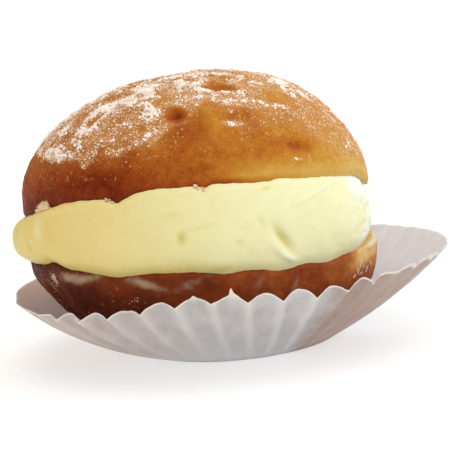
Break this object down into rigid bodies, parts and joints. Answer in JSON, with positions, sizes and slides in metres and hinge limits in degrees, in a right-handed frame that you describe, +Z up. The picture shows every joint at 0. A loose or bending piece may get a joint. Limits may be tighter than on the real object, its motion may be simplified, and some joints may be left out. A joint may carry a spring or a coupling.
{
  "type": "cream-filled doughnut in a paper case",
  "caption": "Round fried doughnut, sliced across, opened at the front and filled with a thick layer of yellow cream, dusted with sugar, sitting in a flared fluted paper case.",
  "frame": {"origin": "centre of the paper case's flat round base, on the surface it stands on", "axes": "+Z up; -Y towards the viewer, the side where the doughnut is opened and the cream is deepest; +X to the viewer's right. The doughnut sits 7.5 mm towards -X in its case"},
  "size_m": [0.1112, 0.1113, 0.0689],
  "materials": {
    "crust_top": "satin",
    "cream": "satin",
    "crust_bottom": "satin",
    "paper": "matte"
  },
  "bodies": {
    "root": {"doughnut_top": "crust_top", "cream_layer": "cream", "doughnut_bottom": "crust_bottom", "paper_case": "paper"}
  },
  "joints": []
}
